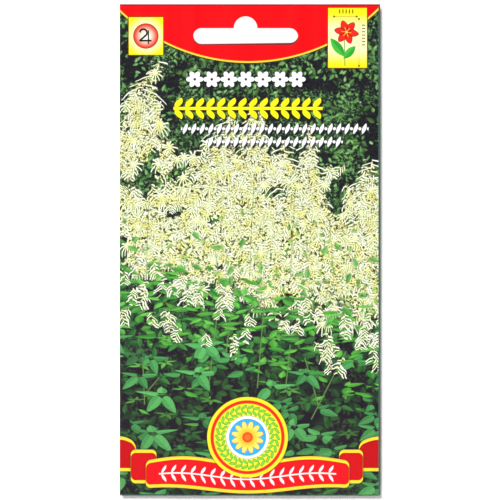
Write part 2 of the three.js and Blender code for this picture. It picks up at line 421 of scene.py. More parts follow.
class Paint:  # the nodes of one material or group, which know their place in the print in millimetres
    def __init__(self, tree, place):
        self.tree, self.colour = tree, (1.0, 1.0, 1.0, 1.0)
        self.place = place(self)
        self.across, self.down = self.split(self.place)

    def node(self, kind, settings=None, inputs=(), output=0):
        made = self.tree.nodes.new(kind)
        for name, value in (settings or {}).items():
            if name == "stops":
                self.setStops(made.color_ramp, value)
            else:
                setattr(made, name, value)
        for key, value in inputs.items() if isinstance(inputs, dict) else enumerate(inputs):
            if isinstance(value, Wire):
                self.tree.links.new(value.socket, made.inputs[key])
            else:
                made.inputs[key].default_value = value
        return Wire(self, made.outputs[output]) if made.outputs else None

    def setStops(self, ramp, stops):
        while len(ramp.elements) < len(stops):
            ramp.elements.new(1.0)
        for element, (place, colour) in zip(ramp.elements, stops):
            element.position = place
            element.color = colour

    def mix(self, below, above, mask, blend="MIX"):
        settings = {"data_type": "RGBA", "blend_type": blend}
        return self.node("ShaderNodeMix", settings, {0: mask, 6: below, 7: above}, output=2)

    def vector(self, operation, *inputs, output=0):
        return self.node("ShaderNodeVectorMath", {"operation": operation}, list(inputs), output)

    def tint(self, above, mask, blend="MIX"):
        self.colour = self.mix(self.colour, above, mask, blend)

    def cover(self, above, distance, soft=0.2, strength=None):
        mask = distance.ink(soft)
        self.tint(above, mask if strength is None else mask * strength)

    def noise(self, place, size, detail=2.0, rough=0.5):
        inputs = {"Vector": place, "Scale": 1 / size, "Detail": detail, "Roughness": rough}
        return self.node("ShaderNodeTexNoise", {"noise_dimensions": "2D"}, inputs)

    def cells(self, place, size, loose=1.0):
        inputs = {"Vector": place, "Scale": 1 / size, "Randomness": loose}
        return self.node("ShaderNodeTexVoronoi", {"voronoi_dimensions": "2D"}, inputs)

    def cell(self, look, loose=1.0, place=None):  # place from the cell's middle, that middle, and three draws
        place = self.moved(*look["shift"], place)
        cell = self.cells(place, look["size"], loose)
        middlePlace = self.vector("ADD", cell.output("Position"), (*look["shift"], 0.0))
        return self.vector("SUBTRACT", place, cell.output("Position")), middlePlace, self.draws(cell)

    def part(self, vector, *axis):
        return self.vector("DOT_PRODUCT", vector, axis, output=1)

    def split(self, vector):
        return self.part(vector, 1, 0, 0), self.part(vector, 0, 1, 0)

    def joined(self, x, y):
        return self.node("ShaderNodeCombineXYZ", None, [x, y, 0.0])

    def draws(self, cell):  # three random numbers from 0 to 1 for each cell
        colour = cell.output("Color")
        return self.part(colour, 1, 0, 0), self.part(colour, 0, 1, 0), self.part(colour, 0, 0, 1)

    def pick(self, turns, draw):  # a random number for each whole turn in a cell
        key = self.joined(turns.math("FLOOR"), draw * 50)
        return self.node("ShaderNodeTexWhiteNoise", {"noise_dimensions": "2D"}, {"Vector": key})

    def turned(self, vector, angle):
        settings = {"rotation_type": "Z_AXIS"}
        return self.node("ShaderNodeVectorRotate", settings, {"Vector": vector, "Angle": angle})

    def moved(self, across, down, place=None):
        return self.vector("SUBTRACT", place or self.place, (across, down, 0.0))

    def around(self, across, down, place=None):  # x and y from a point of the print
        return self.split(self.moved(across, down, place))

    def reach(self, x, y):  # distance from (0, 0)
        return (x * x + y * y).root()

    def disc(self, across, down, radius):
        return self.vector("LENGTH", self.moved(across, down), output=1) - radius

    def box(self, across, down, halfWidth, halfHeight):
        offset = self.vector("ABSOLUTE", self.moved(across, down))
        x, y = self.split(self.vector("SUBTRACT", offset, (halfWidth, halfHeight, 0.0)))
        return x.atLeast(y)

    def stroke(self, start, end, thickness):  # a straight line with round ends
        (x0, y0), (x1, y1) = start, end
        length, turn = math.hypot(x1 - x0, y1 - y0), math.atan2(y1 - y0, x1 - x0)
        x, y = self.split(self.turned(self.moved((x0 + x1) / 2, (y0 + y1) / 2), -turn))
        return self.reach((abs(x) - length / 2).atLeast(0.0), y) - thickness / 2

    def use(self, group, place=None, guide=0.0):
        return self.node("ShaderNodeGroup", {"node_tree": group}, [place or self.place, self.colour, guide])

    def layer(self, draw, *values, guide=0.0):  # what draw paints on the colour so far, as a group of its own
        self.colour = self.use(makeGroup(draw, *values), guide=guide)

    def givenPlace(self):  # it waits for the colour below, so that the layers are worked out one by one
        self.given = self.node("NodeGroupInput")
        return self.vector("MULTIPLY_ADD", self.given.output("Below"), (1e-9, 1e-9, 1e-9), self.given)


class Material(Paint):
    def __init__(self, name, fromBack=False):
        self.material = bpy.data.materials.new(name)
        self.material.use_nodes = True
        self.material.node_tree.nodes.clear()
        self.fromBack = fromBack
        super().__init__(self.material.node_tree, Material.onPaper)

    def onPaper(self):
        self.at = self.node("ShaderNodeTexCoord").output("Object")
        scaled = self.node("ShaderNodeVectorMath", {"operation": "SCALE"}, {0: self.at, 3: 1000.0})
        x, z = self.part(scaled, 1, 0, 0), self.part(scaled, 0, 0, 1)
        return self.joined(right - x if self.fromBack else x - left, top - z)

    def finish(self, colour, roughness, height, lift, **constants):
        bump = self.node("ShaderNodeBump", None, {"Distance": lift / 1000, "Height": height})
        inputs = {"Base Color": colour, "Roughness": roughness, "Normal": bump}
        inputs.update({name.replace("_", " "): value for name, value in constants.items()})
        shader = self.node("ShaderNodeBsdfPrincipled", None, inputs)
        self.node("ShaderNodeOutputMaterial", None, [shader])
        return self.material


def makeGroup(draw, *values):
    group = bpy.data.node_groups.new(draw.__name__, "ShaderNodeTree")
    for name, kind in (("Place", "Vector"), ("Below", "Color"), ("Guide", "Float")):
        group.interface.new_socket(name, in_out="INPUT", socket_type="NodeSocket" + kind)
    group.interface.new_socket("Colour", in_out="OUTPUT", socket_type="NodeSocketColor")
    paint = Paint(group, Paint.givenPlace)
    paint.colour, paint.guide = paint.given.output("Below"), paint.given.output("Guide")
    paint.node("NodeGroupOutput", None, [draw(paint, *values) or paint.colour])
    return group


def tone(red, green, blue):  # a printed colour, from 0 to 255 as seen
    def linear(value):
        value /= 255
        return value / 12.92 if value <= 0.04045 else ((value + 0.055) / 1.055) ** 2.4
    return (linear(red), linear(green), linear(blue), 1.0)


# The printed garden scene: dark trees, leaves, stems and cream flower sprays

garden = {
    "gap": tone(34, 26, 36), "far": (tone(33, 34, 39), tone(49, 82, 57)), "farGap": tone(20, 17, 24),
    "farLeaf": tone(120, 158, 88), "underGap": tone(30, 22, 32), "stem": tone(98, 134, 70),
    "twig": tone(122, 140, 74),
    "mass": (48, 60), "massEnd": (98, 82), "massSway": 16.0, "slope": 0.2, "pivot": 40.0,
    "hanging": {"from": (82, 88), "to": (110, 96), "share": 0.66, "group": (0.45, 0.57), "lean": 0.45},
    "plumes": [  # tip across, tip down, height, half width, lean; the first six have long fingers
        (11.9, 18, 38, 15, -5.0), (33.6, 34, 27, 13, -2.5), (41.5, 31, 30, 12, -1.0), (50, 42, 22, 10, 0.5),
        (57.4, 37.5, 34, 7, 0.6), (77, 48, 30, 12, -2.0), (23, 46, 24, 9, 0.0), (67, 64, 20, 6, 0.0),
    ],
    "fingered": 6,
    "holes": [  # dark gaps in the mass: across, down, half width, half height
        (7.6, 52.0, 3.8, 3.4), (10.4, 46.5, 1.6, 2.4), (48.5, 57.4, 4.6, 1.5), (66.0, 58.0, 2.8, 7.5),
        (16.0, 63.5, 2.6, 1.4), (1.0, 74.0, 1.6, 4.0), (70.5, 66.0, 2.2, 1.8), (28.0, 66.5, 1.6, 1.3),
        (31.0, 80.0, 1.6, 1.0), (73.5, 62.0, 2.0, 1.2), (3.4, 38.5, 1.5, 1.1), (13.0, 40.0, 1.5, 1.4),
        (36.5, 44.0, 1.2, 2.0), (21.5, 53.0, 1.4, 1.0),
    ],
    "stems": [  # from and to
        ((31, 84), (27, 118)), ((35, 86), (32.5, 106)), ((44, 92), (42, 117)), ((69, 106), (58.5, 126.5)),
        ((56.5, 108), (60.5, 122)), ((7, 108), (7.6, 122)), ((12, 114), (7.7, 119)), ((52, 104), (50.5, 118)),
    ],
    "twigs": [  # thin stalks in front of the flowers, from and to
        ((18.5, 72), (19.5, 92)), ((41, 52), (39.5, 86)), ((53.5, 56), (52, 84)), ((9, 58), (8, 84)),
        ((29, 74), (31, 90)), ((64, 66), (65.5, 88)),
    ],
}
tufts = [  # cells of arching flower fingers, from back to front: round a middle, or with a pitch along a stalk
    {"size": 6.8, "fingers": 12, "length": 4.0, "droop": 0.15, "shift": (3, 5), "share": 1.0},
    {"size": 4.9, "pitch": 0.98, "length": 3.2, "droop": 0.13, "lean": 2.0, "shift": (17, 31), "share": 0.85},
    {"size": 5.6, "fingers": 10, "length": 3.5, "droop": 0.17, "shift": (41, 13), "share": 0.7},
    {"size": 4.2, "pitch": 0.9, "length": 2.8, "droop": 0.16, "lean": 1.6, "shift": (29, 47), "share": 0.7},
    {"size": 5.4, "pitch": 1.04, "length": 3.5, "droop": 0.12, "lean": 2.2, "shift": (7, 61), "share": 0.7},
]
finger = {
    "half": 0.17, "slant": 0.3, "top": 0.4, "tall": 0.95, "steepness": 0.82, "bend": 1.5, "missing": 0.24,
    "shades": [(0.0, tone(208, 210, 128)), (0.3, tone(234, 242, 180)), (0.6, tone(249, 255, 222)),
               (1.0, tone(255, 255, 248))],
    "shadow": tone(104, 110, 60), "leafyShadow": tone(50, 62, 38),
}
feather = {
    "pitch": 1.7, "half": 0.17, "droop": 0.085, "beyond": 2.7, "most": 8.5, "end": (26.0, 20.0),
    "tones": (tone(238, 230, 168), tone(255, 255, 242)), "shadow": tone(40, 44, 34),
}
flecks = {"size": 2.9, "long": 0.46, "wide": 0.2, "sway": 6.0, "soft": 0.35, "shadow": 0.5}
fleckLayers = {  # size, shift, share, dark and light of the single leaves of each layer
    "far": [(3.1, (0.0, 0.0), 1.0, (34, 60, 36), (88, 128, 62)),
            (2.5, (7.3, 3.1), 1.0, (44, 86, 46), (116, 172, 92)),
            (1.9, (14.6, 6.2), 1.0, (56, 104, 56), (146, 206, 122))],
    "under": [(5.4, (3, 8), 0.85, (28, 56, 38), (48, 92, 54)),
              (4.4, (17, 2), 0.75, (34, 80, 42), (66, 128, 64)),
              (3.6, (25, 9), 0.6, (46, 106, 48), (84, 152, 70))],
    "spray": [(3.6, (5, 8), 0.26, (64, 132, 62), (128, 196, 96)),
              (2.4, (12, 3), 0.3, (82, 128, 66), (168, 204, 96))],
    "fringe": [(4.6, (6, 4), 1.0, (46, 120, 46), (86, 168, 64)),
               (3.6, (11, 9), 1.0, (60, 144, 50), (112, 196, 80))],
}
whorls = [  # leaves round a middle; rise and fall say how flat the upper and the lower ones lie
    {"size": 9.5, "leaves": 5, "length": 5.4, "wide": 1.15, "rise": 3.2, "fall": 1.5, "shift": (9, 7),
     "share": 0.75, "start": (84, 96), "dark": tone(36, 88, 44), "light": tone(68, 138, 64),
     "rib": tone(104, 164, 92), "shade": 0.6},
    {"size": 8.4, "leaves": 6, "length": 4.4, "wide": 0.85, "rise": 3.8, "fall": 2.0, "shift": (33, 11),
     "share": 0.5, "start": (86, 98), "dark": tone(54, 122, 46), "light": tone(106, 184, 76),
     "rib": tone(146, 206, 116), "shade": 0.75},
    {"size": 12.0, "leaves": 5, "length": 7.4, "wide": 1.6, "rise": 3.2, "fall": 1.2, "shift": (21, 15),
     "share": 1.0, "start": (97, 112), "dark": tone(42, 110, 58), "light": tone(84, 168, 90),
     "rib": tone(124, 192, 128), "shade": 0.35},
    {"size": 13.5, "leaves": 5, "length": 8.8, "wide": 1.95, "rise": 3.4, "fall": 1.1, "shift": (46, 27),
     "share": 0.95, "start": (101, 114), "dark": tone(56, 134, 68), "light": tone(102, 190, 104),
     "rib": tone(146, 212, 142), "shade": 0.3},
]


def singleLeaves(paint, look, where, place):  # one pointed leaf to a cell
    offset, _, (red, green, blue) = paint.cell(look, place=place)
    x, y = paint.split(paint.turned(offset, red * look["sway"]))
    along = y / (look["size"] * look["long"])
    edge = abs(x) - (1 - along * along) * (1 - along * 0.4) * (look["size"] * look["wide"])
    shade = x.between(-0.15, 0.15, 0.0, 0.4) + green * 0.6
    present = (where - blue).between(0.0, 0.04)
    shadow = (edge - look["size"] * 0.05).ink(0.6) * look["shadow"]
    paint.tint(garden["gap"], shadow * present)
    paint.cover(paint.mix(look["dark"], look["light"], shade), edge, look["soft"], present)


def scatterLeaves(paint, layer, where, place=None, **changes):
    for size, shift, share, dark, light in fleckLayers[layer]:
        look = dict(flecks, size=size, shift=shift, dark=tone(*dark), light=tone(*light), **changes)
        singleLeaves(paint, look, where(share, shift), place)


def leafWhorls(paint, look):  # several pointed leaves round the middle of each cell
    offset, middlePlace, (red, _, blue) = paint.cell(look, 0.9)
    x, y = paint.split(offset)
    y = (y * look["fall"]).atMost(y * look["rise"])
    reach = paint.reach(x, y)
    turns = x.math("ARCTAN2", y) * (look["leaves"] / (2 * math.pi)) + red * look["leaves"]
    pick = paint.pick(turns, blue)
    fold = turns.fraction() - 0.5
    aside = fold * reach * (2 * math.pi / look["leaves"])
    along = reach / (pick * 0.35 + 0.65) / look["length"]
    teeth = (along * 9).fraction() * 0.1
    grown = (along * 1.16 - 0.16).atLeast(0.0)
    half = grown.root() * (1 - along) * (look["wide"] * 2.6)
    edge = (abs(aside) - half + teeth).atLeast(along - 1) + pick.between(0.3, 0.28, 0.0, 9.0)
    vein = (along * 30 + abs(fold) * 18).math("SINE") * 0.5 + 0.5
    shade = aside.between(-0.25, 0.25, 0.0, 0.3) + pick * 0.55 + vein * 0.15
    leaf = paint.mix(look["dark"], look["light"], shade)
    leaf = paint.mix(leaf, look["rib"], (abs(aside) - 0.04).ink(0.24) * 0.5)
    leaf = paint.mix(leaf, garden["gap"], paint.down.ease(100, 140) * look["shade"])
    where = slopedDown(paint, middlePlace).ease(*look["start"]) * look["share"]
    inside = (where - blue).between(0.0, 0.02)
    paint.tint(garden["gap"], (edge - 0.3).ink(1.2) * inside * 0.7)
    paint.cover(leaf, edge, 0.26, inside)


def slopedDown(paint, place):  # the distance down at which the flowers give way to leaves, lower on the right
    return paint.part(place, -garden["slope"], 1, 0) + garden["pivot"] * garden["slope"]


def sprayDensity(paint):  # how thick the flower sprays stand, from 0 to 1
    sway = (paint.noise(paint.moved(50, 3), 10.0) - 0.5) * garden["massSway"]
    density = (paint.down - sway).ease(*garden["mass"])
    for across, tip, tall, half, lean in garden["plumes"]:
        x, y = paint.around(across, tip)
        down = y / tall
        side = abs(x - y.ease(0.0, 9.0) * lean) / (down.atLeast(0.0) * half + 0.6)
        inside = side.between(1.15, 0.65) * down.ease(-0.02, 0.02) * down.ease(1.1, 0.7)
        density = density.atLeast(inside * (down * 0.5 + 0.64))
    density = density * (slopedDown(paint, paint.place) - sway).ease(*garden["massEnd"])
    for across, down, halfWidth, halfHeight in garden["holes"]:
        offset = paint.vector("MULTIPLY", paint.moved(across, down), (1 / halfWidth, 1 / halfHeight, 0))
        density = density * paint.vector("LENGTH", offset, output=1).between(0.75, 1.25)
    return density


densityGroup = makeGroup(sprayDensity)

spray = {
    "pale": (tone(214, 212, 130), tone(248, 252, 206)), "gap": (tone(46, 50, 38), tone(84, 150, 76)),
    "shade": tone(248, 238, 146), "shadeStrength": 0.62, "specks": (tone(34, 32, 30), tone(86, 84, 40)),
    "speckSizes": [(1.25, (9, 2), 0.27), (1.9, (4, 6), 0.42)],  # cell, shift and radius
}


def sprayMass(paint):  # the pale ground between the fingers, with dark gaps in it
    fine = paint.noise(paint.moved(11, 70), 1.1, 3, 0.6)
    pale = paint.mix(*spray["pale"], fine.ease(0.34, 0.58))
    gaps = paint.noise(paint.moved(80, 7), 0.9, 3, 0.6).ease(0.48, 0.56)
    leafy = paint.noise(paint.moved(33, 90), 4.0).ease(0.46, 0.6) * paint.down.ease(56, 86)
    pale = paint.mix(pale, paint.mix(*spray["gap"], leafy), gaps)
    paint.tint(pale, (paint.guide + (fine - 0.5) * 1.2).ease(0.66, 0.86))


def sprayDetails(paint):  # yellow shade, small leaves and dark specks among the fingers
    density = paint.guide
    patch = paint.noise(paint.moved(61, 22), 3.6, 3, 0.6)
    shade = patch.ease(0.44, 0.66) * spray["shadeStrength"] * density.ease(0.3, 0.8)
    paint.tint(spray["shade"], shade, "MULTIPLY")
    leafy = paint.down.ease(56, 90) * density.atMost(1.0)
    scatterLeaves(paint, "spray", lambda share, _: leafy * share, shadow=0.3)
    dense = paint.noise(paint.moved(3, 44), 5.0).ease(0.38, 0.62)
    for size, shift, radius in spray["speckSizes"]:
        cell = paint.cells(paint.moved(*shift), size)
        red, green, blue = paint.draws(cell)
        speck = (cell * size - (green * 0.6 + 0.4) * radius).ink(0.16)
        speck = speck * ((dense * 0.6 + 0.06) * density.ease(0.2, 0.7) - blue).between(0.0, 0.05)
        paint.tint(paint.mix(*spray["specks"], red), speck * 0.9)


def plumeFingers(paint):  # long fingers that arch away on both sides of one plume's stalk
    x, y = paint.split(paint.place)
    out, side = abs(x), x.math("SIGN")
    fallen = y - out * out * feather["droop"] + side * 0.6 + paint.noise(paint.place, 4.0, 1) * 1.6
    turns = fallen / feather["pitch"]
    pick = paint.pick(turns, side * 0.3 + paint.guide)
    limit = (y.atLeast(0.0) * paint.guide + feather["beyond"]) * (pick * 0.6 + 0.4)
    aside = abs(turns.fraction() - 0.5) * feather["pitch"] - feather["half"]
    edge = aside.atLeast(out - limit.atMost(feather["most"])).atLeast((y + 0.6) * -1)
    edge = edge.atMost(paint.reach(x, (y - 1.2) * 0.22) - 0.24)
    present = y.ease(*feather["end"])
    paint.tint(feather["shadow"], edge.between(0.3, 0.0) * present * 0.6)
    paint.cover(paint.mix(*feather["tones"], pick), edge, 0.2, present)


featherGroup = makeGroup(plumeFingers)


def plumes(paint):
    for across, tip, tall, half, lean in garden["plumes"][:garden["fingered"]]:
        x, y = paint.around(across, tip)
        local = paint.joined(x - y.ease(0.0, 9.0) * lean, y)
        paint.colour = paint.use(featherGroup, local, half / tall)


def fingersRound(paint, look, offset, draws):  # fingers that arch out of a middle and droop
    x, y = paint.split(offset)
    reach = paint.reach(x, y)
    fallen = y - reach * reach * ((draws[2] + 0.4) * look["droop"])
    turns = x.math("ARCTAN2", fallen) * (look["fingers"] / (2 * math.pi)) + draws[0] * look["fingers"]
    aside = abs(turns.fraction() - 0.5) * reach * (2 * math.pi / look["fingers"])
    pick = paint.pick(turns, draws[2])
    along = (reach - fallen * 0.5) / (pick * 0.7 + 0.35) / look["length"]
    return (aside - finger["half"]).atLeast((along - 1) * look["length"]), pick, along


def fingersAlong(paint, look, offset, draws):  # fingers that leave both sides of a short stalk
    x, y = paint.split(paint.turned(offset, (draws[0] - 0.5) * look["lean"]))
    bent = (paint.noise(paint.place, 1.7, 1) - 0.5) * finger["bend"]
    out, side = abs(x), (x + bent * 0.3).math("SIGN")
    level = y + finger["top"] * look["size"] + bent
    fallen = level - out * (out * look["droop"] + finger["slant"] + draws[2] * 0.4)
    turns = fallen / look["pitch"] + side * 0.25
    pick = paint.pick(turns, side * 0.3 + draws[2])
    limit = (fallen * 0.6 + 1.2).atMost(look["length"]) * (pick * 0.65 + 0.45)
    aside = abs(turns.fraction() - 0.5) * (look["pitch"] * finger["steepness"]) - finger["half"]
    edge = aside.atLeast(out - limit * pick.between(finger["missing"], finger["missing"] + 0.02))
    half = finger["tall"] * look["size"] / 2
    return edge.atLeast(abs(fallen - half) - half), pick, out / look["length"] + 0.25


def flowerFingers(paint, look, hanging=None):
    offset, middlePlace, draws = paint.cell(look, 0.95)
    shape = fingersAlong if "pitch" in look else fingersRound
    edge, pick, along = shape(paint, look, offset, draws)
    if hanging:
        middleDown = slopedDown(paint, middlePlace)
        group = paint.noise(paint.vector("ADD", middlePlace, (7.0, 55.0, 0.0)), 8.0, 1)
        density = middleDown.ease(*hanging["from"]) * middleDown.ease(*hanging["to"])
        density = density * group.ease(*hanging["group"]) * hanging["share"]
    else:
        density = paint.part(paint.use(densityGroup, middlePlace), 1, 0, 0) * look["share"]
    present = (density * 1.1 - draws[1]).between(0.0, 0.01)
    shade = pick * 0.5 + along.atMost(1.0) * 0.5
    face = paint.node("ShaderNodeValToRGB", {"stops": finger["shades"]}, [shade])
    shadow = edge.between(0.32, 0.0) * present * 0.6
    paint.tint(finger["leafyShadow" if hanging else "shadow"], shadow)
    paint.cover(face, edge, 0.2, present)


def stalks(paint, which, thickness, green, strength=1.0):
    for start, end in garden[which]:
        paint.cover(green, paint.stroke(start, end, thickness), 0.25, strength)


def farTrees(paint):
    patch = paint.noise(paint.place, 9, 3)
    paint.tint(paint.mix(*garden["far"], patch.ease(0.4, 0.66)), 1.0)
    mottle = paint.noise(paint.moved(5, 60), 0.9, 3, 0.65)
    paint.tint(garden["farGap"], mottle.ease(0.56, 0.44) * 0.85)
    paint.tint(garden["farLeaf"], mottle.ease(0.55, 0.64) * patch.ease(0.4, 0.6))

    def patches(_, shift):
        return paint.noise(paint.moved(shift[1] * 10 + 9, 5), 8.5).between(0.44, 0.6, 0.0, 0.85)
    scatterLeaves(paint, "far", patches)


def undergrowth(paint):
    sway = (paint.noise(paint.moved(90, 40), 8.0, 3) - 0.5) * 20
    lower = (slopedDown(paint, paint.place) + sway).ease(66, 78)
    paint.tint(garden["gap"], lower * 0.7)
    scatterLeaves(paint, "under", lambda share, _: lower * share)
    paint.tint(garden["underGap"], (paint.down + sway).ease(98, 116) * 0.62)


def fringeLeaves(paint):  # bright leaves that lie nearly flat where the flowers end, and the stems
    flat = paint.vector("MULTIPLY", paint.place, (0.62, 1.5, 1.0))
    fringe = slopedDown(paint, paint.place) + (paint.noise(paint.moved(20, 77), 6.0) - 0.5) * 14
    share = fringe.ease(80, 90) * (fringe.ease(118, 99) * 0.84 + 0.04)
    scatterLeaves(paint, "fringe", lambda *_: share, flat, wide=0.17)
    stalks(paint, "stems", 0.3, garden["stem"])


# The printed header, labels, ornaments and banner

header = {
    "across": 39.2, "down": -39.2, "radius": 57.1, "line": 0.5, "redInset": 0.8, "topLine": 0.42,
    "reds": (tone(244, 8, 20), tone(232, 6, 12)), "yellow": tone(252, 214, 62), "edge": tone(196, 22, 16),
    "shadow": tone(40, 44, 22), "topInk": tone(150, 22, 28),
}


def headerPrint(paint, across=header["across"]):
    edge = paint.disc(across, header["down"], header["radius"])
    paint.cover(header["shadow"], edge - 0.35, 0.5, 0.75)
    paint.cover(header["yellow"], edge)
    paint.cover(header["edge"], edge + header["line"])
    paint.cover(paint.mix(*header["reds"], paint.noise(paint.place, 24)), edge + header["redInset"], 0.3)
    paint.cover(header["topInk"], paint.down - header["topLine"], 0.25)


labelTones = {"rim": tone(88, 26, 4), "face": (tone(252, 248, 186), tone(244, 232, 24))}


def label(paint, box, glow):
    edge = paint.box(*box)
    paint.cover(labelTones["rim"], edge - 0.3, 0.3, 0.8)
    paint.cover(paint.mix(*labelTones["face"], glow), edge)


def shares(x, y, count, turn=0.0):  # a circle in equal shares, each from -0.5 to 0.5
    return (y.math("ARCTAN2", x) * (count / (2 * math.pi)) + turn).fraction() - 0.5


signLabel = {
    "box": (8.0, 9.7, 5.25, 5.75), "disc": (7.97, 9.7, 3.88), "rim": 0.28, "ink": tone(20, 10, 8),
    "rimTone": tone(150, 44, 22), "face": (tone(255, 250, 226), tone(224, 60, 40)),
    "curl": (7.22, 8.72, 1.1), "halfLine": 0.29,
    "strokes": [((8.02, 9.47), (6.22, 11.0), 0.56), ((6.22, 11.12), (9.47, 11.12), 0.56),
                ((8.75, 8.1), (8.75, 11.95), 0.42)],
}


def perennialLabel(paint):  # the gardeners' sign for a perennial: a curl, a bar and a post through it
    edge = paint.disc(*signLabel["disc"])
    label(paint, signLabel["box"], edge.ease(-0.4, 2.6))
    paint.cover(signLabel["rimTone"], edge)
    paint.cover(paint.mix(*signLabel["face"], edge.ease(-3.4, -0.2)), edge + signLabel["rim"])
    x, y = paint.around(*signLabel["curl"][:2])
    sign = (abs(paint.disc(*signLabel["curl"])) - signLabel["halfLine"]).atLeast(y - x * 0.9 - 0.85)
    for stroke in signLabel["strokes"]:
        sign = sign.atMost(paint.stroke(*stroke))
    paint.cover(signLabel["ink"], sign, 0.16)


bloomLabel = {
    "box": (69.5, 10.25, 5.92, 9.15), "glowDown": 10.6, "ink": tone(74, 62, 16), "line": tone(150, 132, 70),
    "measures": [((65.4, 3.75), (72.3, 3.75)), ((73.0, 4.5), (73.0, 18.8))],
    "above": (66.6, 5.0, 2.2, 0.6), "beside": (5.9, 7.0, 74.4, 0.5),  # start, length, level and half height
    "stem": ((68.6, 11.0), (68.7, 18.8), 0.26),
    "leaves": [((66.5, 13.2), 0.66, 3.6, 1.35), ((70.1, 14.7), -0.76, 2.7, 1.15)],  # middle, turn, half sizes
    "middle": (69.2, 8.5), "petals": 6, "turn": 0.3342, "petal": 3.6, "wide": 1.8, "thread": 1.5,
    "greens": (tone(66, 184, 64), tone(50, 156, 54)), "stemTone": tone(96, 140, 60),
    "reds": (tone(178, 22, 14), tone(234, 42, 30)), "outline": tone(140, 26, 14), "yellow": tone(255, 200, 60),
}


def ticks(run, level, place):  # a plain scale with a tick for each millimetre
    start, length, at, tall = place
    edge = abs((run - start).fraction() - 0.5) - 0.16
    return edge.atLeast(abs(run - (start + length / 2)) - length / 2).atLeast(abs(level - at) - tall)


def flowerLabel(paint):
    label(paint, bloomLabel["box"], abs(paint.down - bloomLabel["glowDown"]).ease(2.6, 8.0))
    for ends in bloomLabel["measures"]:
        paint.cover(bloomLabel["line"], paint.stroke(*ends, 0.14), 0.16)
        for end in ends:
            paint.cover(bloomLabel["ink"], paint.disc(*end, 0.3))
    above = ticks(paint.across, paint.down, bloomLabel["above"])
    beside = ticks(paint.down, paint.across, bloomLabel["beside"])
    paint.cover(bloomLabel["ink"], above.atMost(beside), 0.16)
    paint.cover(bloomLabel["stemTone"], paint.stroke(*bloomLabel["stem"]), 0.16)
    for at, turn, tall, wide in bloomLabel["leaves"]:
        x, y = paint.split(paint.turned(paint.moved(*at), turn))
        along = y / tall
        leaf = paint.mix(*bloomLabel["greens"], x.between(-0.3, 0.3))
        paint.cover(leaf, abs(x) - (1 - along * along) * wide)
    x, y = paint.around(*bloomLabel["middle"])
    reach = paint.reach(x, y)
    fold = abs(shares(x, y, bloomLabel["petals"], bloomLabel["turn"]))
    around = reach * (2 * math.pi / bloomLabel["petals"])
    half = (1.03 - reach / bloomLabel["petal"]).atLeast(0.0).root() * bloomLabel["wide"]
    edge = (fold * around - half).atLeast(reach - bloomLabel["petal"] - 0.1)
    petal = paint.mix(*bloomLabel["reds"], (around * (0.5 - fold)).between(0.05, 0.3))
    paint.cover(bloomLabel["outline"], edge - 0.1, 0.16)
    paint.cover(petal, edge + 0.16, 0.16)
    threads = (fold * reach - 0.07).atLeast(reach - bloomLabel["thread"])
    paint.cover(bloomLabel["yellow"], threads.atMost(reach - 0.4), 0.16)


def repeated(paint, row, place):  # a place within one motif of a row, and the distance past the row's ends
    x, y = paint.around(row["start"], row["down"], place)
    half = row["pitch"] * row["count"] / 2
    return ((x / row["pitch"]).fraction() - 0.5) * row["pitch"], y, abs(x - half) - half


def rosettes(paint, row, place):
    x, y, ends = repeated(paint, row, place)
    reach = paint.reach(x, y)
    petals = (y.math("ARCTAN2", x) * (row["petals"] / 2)).math("COSINE")
    edge = reach - (abs(petals) * 0.42 + 0.58) * row["radius"]
    return edge.atLeast(row["eye"] - reach).atLeast(ends)


def garland(paint, row, place):  # pairs of leaves that slant along a thin stem
    x, y, ends = repeated(paint, row, place)
    rise, half = abs(y), row["half"]
    along = (rise - half * 0.52) / (half * 0.5)
    edge = abs(x - rise * 0.55 + half * 0.3) - (1 - along * along) * row["wide"]
    return (edge * 0.85).atMost(rise - row["stem"]).atLeast(ends)


def beads(paint, row, place):  # slanting leaves and dots, turn by turn
    x, y, ends = repeated(paint, row, place)
    rise = y / row["half"]
    leaf = abs(x + y * 0.35) - (1 - rise * rise) * row["wide"]
    dot = paint.reach(abs(x) - row["pitch"] / 2, y) - row["wide"] * 0.75
    return leaf.atMost(dot).atLeast(ends)


title = {
    "white": tone(252, 252, 255), "shadow": tone(18, 14, 22), "shadowShift": 0.5,
    "rows": [
        {"motif": rosettes, "start": 20.3, "down": 22.9, "pitch": 5.2, "count": 7, "radius": 2.6, "petals": 6,
         "eye": 0.42},
        {"motif": garland, "start": 16.4, "down": 31.8, "pitch": 3.25, "count": 14, "half": 3.2, "wide": 1.05,
         "stem": 0.45, "tone": tone(255, 242, 24)},
        {"motif": beads, "start": 18.7, "down": 38.0, "pitch": 2.6, "count": 22, "half": 1.65, "wide": 0.6},
        {"motif": beads, "start": 26.4, "down": 42.0, "pitch": 2.6, "count": 16, "half": 1.65, "wide": 0.6},
    ],
}


def titleOrnaments(paint):
    lifted = paint.moved(title["shadowShift"], title["shadowShift"])
    for row in title["rows"]:
        shadow = row["motif"](paint, row, lifted)
        paint.tint(title["shadow"], shadow.between(0.5, -0.1) * 0.95)
        paint.cover(row.get("tone", title["white"]), row["motif"](paint, row, paint.place))


banner = {
    "red": tone(229, 15, 26), "yellow": tone(252, 222, 44), "gold": tone(255, 196, 70),
    "white": tone(255, 244, 244), "shadow": tone(20, 24, 16), "piping": 0.95, "corner": 1.5, "fall": 2.0,
    # left, right, upper, lower and light of each part behind the main one
    "tails": [(-3.0, 4.9, 131.9, 142.5, 0.62), (73.0, 83.0, 131.9, 142.5, 0.62)],
    "folds": [(3.4, 11.2, 135.9, 146.2, 0.76), (67.0, 74.2, 135.9, 146.2, 0.76)],
    "ends": (8.0, 70.0),
    "waves": [(138.95, 19.3, 38.8, 1.05), (148.35, 14.1, 50.4, 0.95)],  # level, start, length and rise
    "leaves": {"start": 12.0, "down": 0.3, "pitch": 3.0, "count": 18, "half": 2.5, "wide": 0.46, "stem": 0.2},
}


